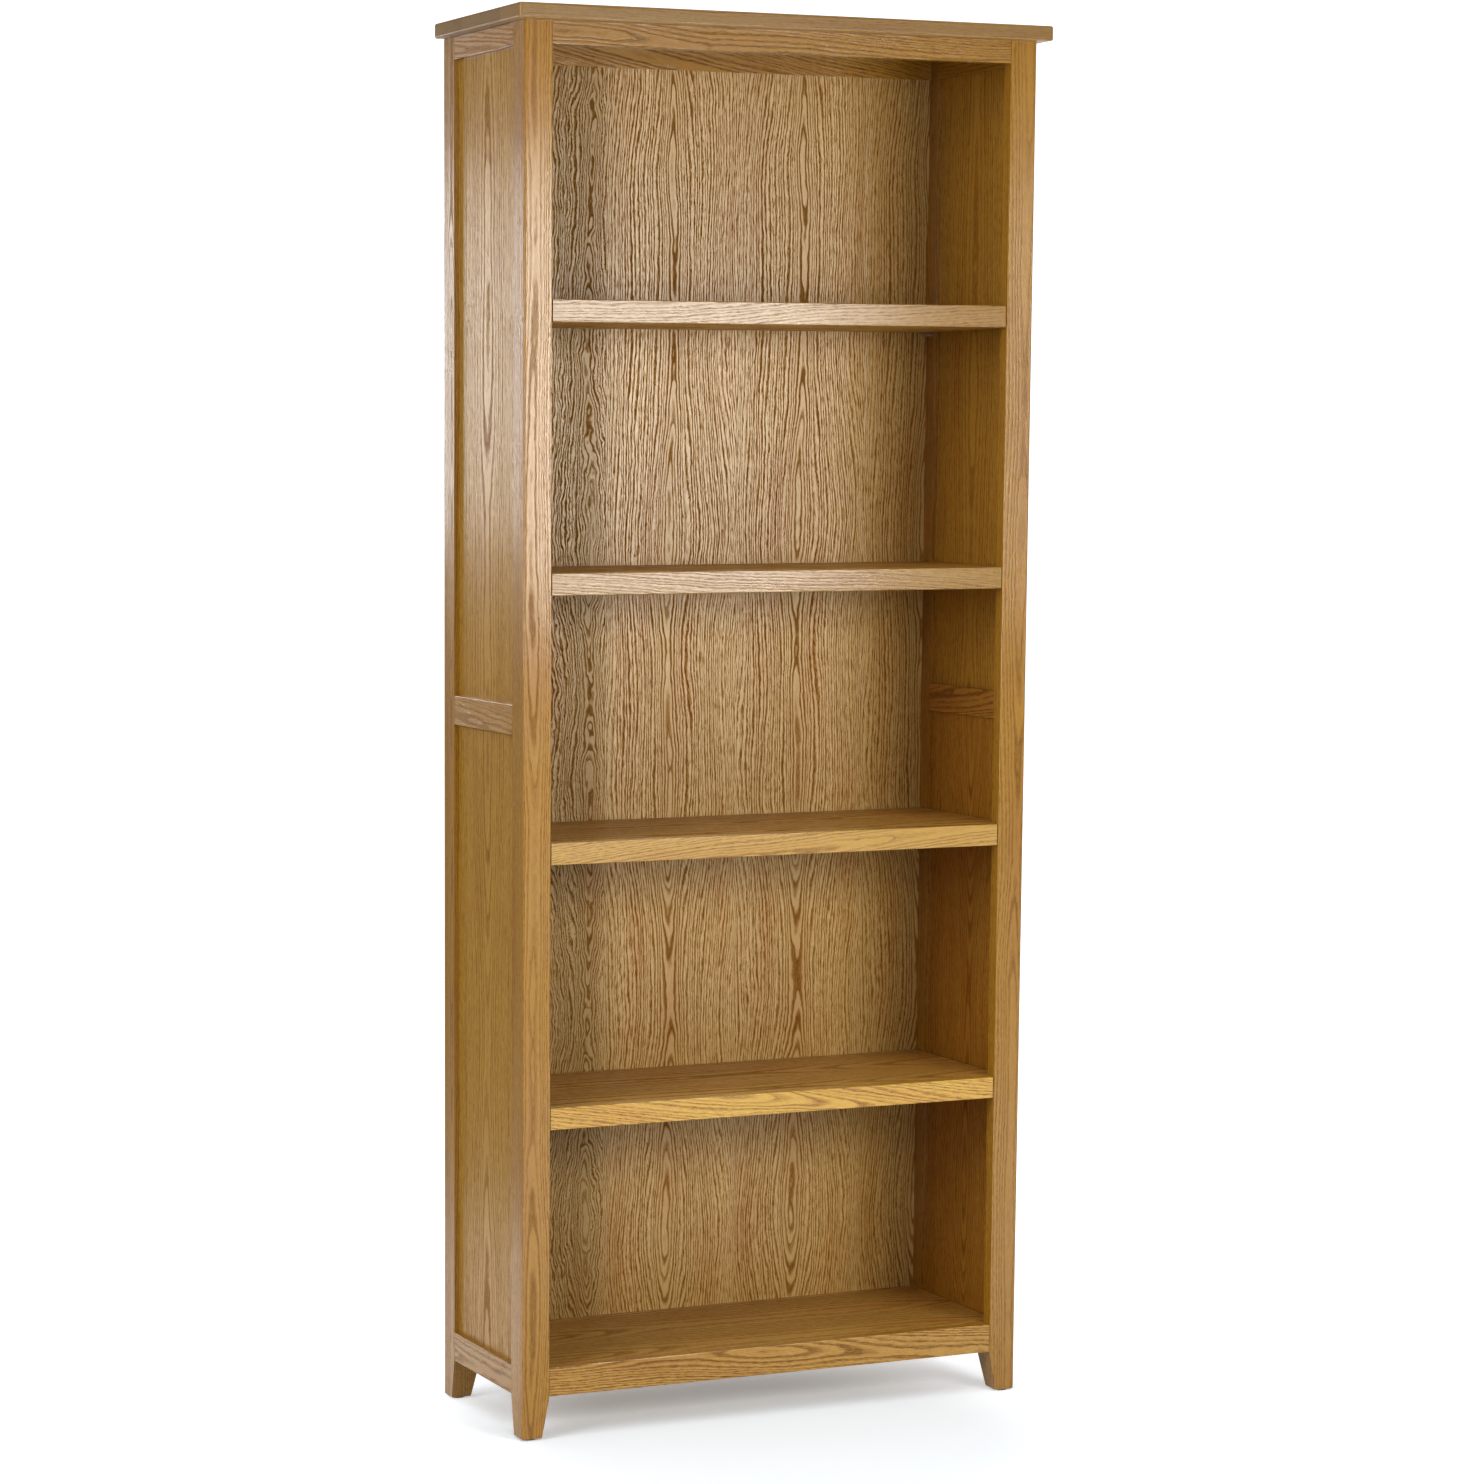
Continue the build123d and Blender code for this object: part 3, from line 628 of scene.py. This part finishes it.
# lamps in metres and watts; a sun's size is its angle in degrees
lamps = {
    "keyPanel": {"kind": "AREA", "place": (0.88, -2.9, 1.44), "aim": (0.0, 0.0, 1.3), "size": (1.1, 0.95),
                 "power": 43.0, "color": (1.0, 0.99, 0.95)},
    "keyEdge": {"kind": "AREA", "place": (1.54, -2.9, 1.44), "aim": (0.0, 0.0, 1.3), "size": (0.22, 0.95),
                "power": 5.9, "color": (1.0, 0.99, 0.95)},
    "keyLow": {"kind": "AREA", "place": (0.95, -2.9, 0.60), "aim": (0.0, 0.0, 0.6), "size": (1.2, 0.7),
               "power": 3.0, "color": (1.0, 0.99, 0.95)},
    "frontFill": {"kind": "AREA", "place": (-0.7, -3.2, 1.75), "aim": (0.1, 0.0, 1.0), "size": (0.8, 0.8),
                  "power": 13.0, "color": (1.0, 1.0, 1.0)},
    "backPanelLight": {"kind": "AREA", "place": (-1.1, 2.6, 1.52), "aim": (-0.38, 0.0, 1.45),
                       "size": (0.9, 0.75), "power": 10.5, "color": (1.0, 1.0, 1.0)},
    "leftFill": {"kind": "AREA", "place": (-4.0, -1.25, 2.2), "aim": (0.0, 0.0, 1.1), "size": (2.0, 2.0),
                 "power": 94.0, "color": (1.0, 1.0, 1.0)},
    "skylight": {"kind": "SUN", "place": (-0.8, -0.3, 4.0), "aim": (0.0, 0.0, 0.0), "size": 70.0,
                 "power": 0.8, "color": (1.0, 1.0, 1.0)},
}


def lightPath(tree, kind):
    return addNode(tree, "ShaderNodeLightPath").outputs[kind]


def mixShader(tree, factor, first, second):
    mix = addNode(tree, "ShaderNodeMixShader")
    feed(tree, mix.inputs[0], factor)
    feed(tree, mix.inputs[1], first)
    feed(tree, mix.inputs[2], second)
    return mix.outputs[0]


def makeWorld():
    world = bpy.data.worlds.new("greyRoom")
    bpy.context.scene.world = world
    world.use_nodes = True
    tree = world.node_tree
    tree.nodes.clear()
    ambient = addNode(tree, "ShaderNodeBackground")
    ambient.inputs["Color"].default_value = (*studio["ambient"], 1.0)
    ambient.inputs["Strength"].default_value = studio["ambientStrength"]
    backdrop = addNode(tree, "ShaderNodeBackground")
    backdrop.inputs["Color"].default_value = (1.0, 1.0, 1.0, 1.0)
    result = addNode(tree, "ShaderNodeOutputWorld")
    feed(tree, result.inputs["Surface"], mixShader(
        tree, lightPath(tree, "Is Camera Ray"), ambient.outputs[0], backdrop.outputs[0]))


def floorMaterial(name):
    # grey for the oak, and as white as the paper for the camera
    material = bpy.data.materials.new(name)
    material.use_nodes = True
    tree = material.node_tree
    tree.nodes.clear()
    paint = addNode(tree, "ShaderNodeBsdfDiffuse")
    paint.inputs["Color"].default_value = (*[studio["floorColor"]] * 3, 1.0)
    glow = addNode(tree, "ShaderNodeEmission")
    result = addNode(tree, "ShaderNodeOutputMaterial")
    feed(tree, result.inputs["Surface"], mixShader(
        tree, lightPath(tree, "Is Camera Ray"), paint.outputs[0], glow.outputs[0]))
    return material


def paperMaterial(name, glowInPaintedShadow, mirrored):
    # white paper: it glows only for what looks at it or mirrors it, so it adds no light to the oak
    material = bpy.data.materials.new(name)
    material.use_nodes = True
    tree = material.node_tree
    tree.nodes.clear()
    spot = addNode(tree, "ShaderNodeTexCoord").outputs["Object"]
    rays = addNode(tree, "ShaderNodeLightPath").outputs
    seen = maths(tree, "MAXIMUM", rays["Is Camera Ray"], maths(tree, "MULTIPLY", mirrored, maths(
        tree, "MAXIMUM", rays["Is Glossy Ray"], rays["Is Transmission Ray"])))
    paint = addNode(tree, "ShaderNodeBsdfDiffuse")
    paint.inputs["Color"].default_value = (*studio["paperColor"], 1.0)
    glow = addNode(tree, "ShaderNodeEmission")
    # the glow falls from full white away from the bookcase to a painted shadow round its legs
    away = vectorMaths(tree, "LENGTH", vectorMaths(tree, "SUBTRACT", spot, paperGlow["centre"]))
    feed(tree, glow.inputs["Strength"], maths(tree, "MULTIPLY", seen, ease(
        tree, away, paperGlow["near"], paperGlow["far"], glowInPaintedShadow, paperGlow["away"])))
    both = addNode(tree, "ShaderNodeAddShader")
    feed(tree, both.inputs[0], paint.outputs[0])
    feed(tree, both.inputs[1], glow.outputs[0])
    result = addNode(tree, "ShaderNodeOutputMaterial")
    feed(tree, result.inputs["Surface"], both.outputs[0])
    return material


def makeSheet(name, width, height, material, place, turn=None):
    shape = bmesh.new()
    bmesh.ops.create_grid(shape, x_segments=1, y_segments=1, size=0.5)
    bmesh.ops.scale(shape, vec=(width, height, 1.0), verts=shape.verts)
    if turn is not None:
        bmesh.ops.rotate(shape, matrix=Euler(turn).to_matrix(), verts=shape.verts)
    bmesh.ops.translate(shape, vec=place, verts=shape.verts)
    mesh = bpy.data.meshes.new(name)
    shape.to_mesh(mesh)
    shape.free()
    sheet = bpy.data.objects.new(name, mesh)
    bpy.context.scene.collection.objects.link(sheet)
    mesh.materials.append(material)


def makeLamp(name, settings):
    data = bpy.data.lights.new(name, settings["kind"])
    if settings["kind"] == "AREA":
        data.shape = "RECTANGLE"
        data.size, data.size_y = settings["size"]
    else:
        data.angle = math.radians(settings["size"])
    data.energy = settings["power"]
    data.color = settings["color"]
    lamp = bpy.data.objects.new(name, data)
    bpy.context.scene.collection.objects.link(lamp)
    lamp.location = settings["place"]
    lamp.rotation_euler = (Vector(settings["aim"]) - lamp.location).to_track_quat("-Z", "Y").to_euler()
    lamp.visible_camera = False


makeWorld()
paperTurn = math.radians(studio["paperTurn"])
alongPaper = Vector((-math.sin(paperTurn), math.cos(paperTurn), 0.0)) * studio["paperLength"] / 2
paperMiddle = Vector((*studio["paperPlace"], 0.0))
makeSheet("floor", studio["floorSize"], studio["floorSize"], floorMaterial("studioFloor"),
          (0.0, 0.0, -studio["floorDrop"]))
makeSheet("paper", studio["paperWidth"], studio["paperLength"],
          paperMaterial("paperFloor", paperGlow["paintedShadowGlow"], paperGlow["mirroredFloor"]),
          paperMiddle, turn=(0.0, 0.0, paperTurn))
makeSheet("paperWall", studio["paperWidth"], studio["wallHeight"],
          paperMaterial("paperWall", paperGlow["away"], paperGlow["mirroredWall"]),
          paperMiddle + alongPaper + Vector((0.0, 0.0, studio["wallHeight"] / 2)),
          turn=(math.radians(90.0), 0.0, paperTurn))
for name, settings in lamps.items():
    makeLamp(name, settings)
print("studio lit")


# camera, left of the middle and a little above the mid rails
cameraSettings = {
    "place": (-2.376, -4.793, 1.343), "tilt": 82.99, "swing": -22.32, "lens": 93.5, "sensor": 36.0,
    "shiftX": 0.186, "shiftY": 0.115, "farthest": 60.0,
}
cameraData = bpy.data.cameras.new("mainCamera")
cameraData.sensor_width = cameraSettings["sensor"]
cameraData.lens = cameraSettings["lens"]
cameraData.shift_x = cameraSettings["shiftX"]
cameraData.shift_y = cameraSettings["shiftY"]
cameraData.clip_end = cameraSettings["farthest"]
camera = bpy.data.objects.new("mainCamera", cameraData)
bpy.context.scene.collection.objects.link(camera)
camera.location = cameraSettings["place"]
camera.rotation_euler = (math.radians(cameraSettings["tilt"]), 0.0, math.radians(cameraSettings["swing"]))
bpy.context.scene.camera = camera
bpy.context.scene.view_settings.view_transform = "Standard"

print("scene ready")
